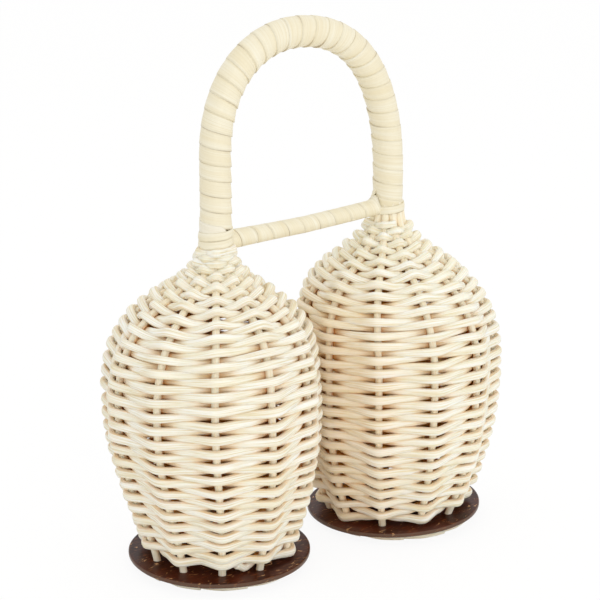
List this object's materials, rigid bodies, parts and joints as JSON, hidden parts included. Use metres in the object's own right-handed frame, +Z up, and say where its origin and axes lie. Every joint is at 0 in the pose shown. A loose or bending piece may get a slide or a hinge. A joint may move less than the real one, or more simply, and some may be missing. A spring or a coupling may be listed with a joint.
{
  "type": "double caxixi",
  "caption": "Pair of egg-shaped woven reed basket shakers with loose seeds inside, each on a coconut-shell disc, joined by a short cross bar and an arch handle wrapped in flat cane.",
  "frame": {"origin": "on the surface that the instrument stands on, midway between the two baskets", "axes": "+X from the left basket to the right one, +Y towards the back, +Z up along the baskets' axes"},
  "size_m": [0.1562, 0.0776, 0.1939],
  "materials": {
    "weaver_reed": "natural peeled round reed, satin, fine lengthwise fibre",
    "stake_reed": "natural round reed, satin, a little darker than the weavers",
    "cane_strip": "flat peeled cane strip, smooth, slightly glossy",
    "coconut_shell": "polished coconut shell, dark brown with reddish flecks, glossy",
    "seed": "dry hard seed, satin"
  },
  "bodies": {
    "instrument": {"base_disc_left": "coconut_shell", "base_disc_right": "coconut_shell", "stake_left_01": "stake_reed", "stake_left_02": "stake_reed", "stake_left_03": "stake_reed", "stake_left_04": "stake_reed", "stake_left_05": "stake_reed", "stake_left_06": "stake_reed", "stake_left_07": "stake_reed", "stake_left_08": "stake_reed", "stake_left_09": "stake_reed", "stake_left_10": "stake_reed", "stake_left_11": "stake_reed", "stake_right_01": "stake_reed", "stake_right_02": "stake_reed", "stake_right_03": "stake_reed", "stake_right_04": "stake_reed", "stake_right_05": "stake_reed", "stake_right_06": "stake_reed", "stake_right_07": "stake_reed", "stake_right_08": "stake_reed", "stake_right_09": "stake_reed", "stake_right_10": "stake_reed", "stake_right_11": "stake_reed", "weaver_left_1": "weaver_reed", "weaver_left_2": "weaver_reed", "weaver_left_3": "weaver_reed", "weaver_left_4": "weaver_reed", "weaver_right_1": "weaver_reed", "weaver_right_2": "weaver_reed", "weaver_right_3": "weaver_reed", "weaver_right_4": "weaver_reed", "neck_coil_left": "weaver_reed", "neck_coil_right": "weaver_reed", "neck_binding_left": "cane_strip", "neck_binding_right": "cane_strip", "handle_core": "stake_reed", "handle_wrap": "cane_strip", "cross_bar": "stake_reed", "cross_bar_wrap": "cane_strip"},
    "loose_seed_left_1": {"seed_left_1": "seed"},
    "loose_seed_left_2": {"seed_left_2": "seed"},
    "loose_seed_left_3": {"seed_left_3": "seed"},
    "loose_seed_left_4": {"seed_left_4": "seed"},
    "loose_seed_left_5": {"seed_left_5": "seed"},
    "loose_seed_right_1": {"seed_right_1": "seed"},
    "loose_seed_right_2": {"seed_right_2": "seed"},
    "loose_seed_right_3": {"seed_right_3": "seed"},
    "loose_seed_right_4": {"seed_right_4": "seed"},
    "loose_seed_right_5": {"seed_right_5": "seed"}
  },
  "joints": [
    {"name": "seed_left_1_hop", "type": "slide", "parent": "instrument", "child": "loose_seed_left_1", "axis": [0, 0, 1], "range_m": [0, 0.08]},
    {"name": "seed_left_2_hop", "type": "slide", "parent": "instrument", "child": "loose_seed_left_2", "axis": [0, 0, 1], "range_m": [0, 0.08]},
    {"name": "seed_left_3_hop", "type": "slide", "parent": "instrument", "child": "loose_seed_left_3", "axis": [0, 0, 1], "range_m": [0, 0.08]},
    {"name": "seed_left_4_hop", "type": "slide", "parent": "instrument", "child": "loose_seed_left_4", "axis": [0, 0, 1], "range_m": [0, 0.08]},
    {"name": "seed_left_5_hop", "type": "slide", "parent": "instrument", "child": "loose_seed_left_5", "axis": [0, 0, 1], "range_m": [0, 0.08]},
    {"name": "seed_right_1_hop", "type": "slide", "parent": "instrument", "child": "loose_seed_right_1", "axis": [0, 0, 1], "range_m": [0, 0.08]},
    {"name": "seed_right_2_hop", "type": "slide", "parent": "instrument", "child": "loose_seed_right_2", "axis": [0, 0, 1], "range_m": [0, 0.08]},
    {"name": "seed_right_3_hop", "type": "slide", "parent": "instrument", "child": "loose_seed_right_3", "axis": [0, 0, 1], "range_m": [0, 0.08]},
    {"name": "seed_right_4_hop", "type": "slide", "parent": "instrument", "child": "loose_seed_right_4", "axis": [0, 0, 1], "range_m": [0, 0.08]},
    {"name": "seed_right_5_hop", "type": "slide", "parent": "instrument", "child": "loose_seed_right_5", "axis": [0, 0, 1], "range_m": [0, 0.08]}
  ]
}
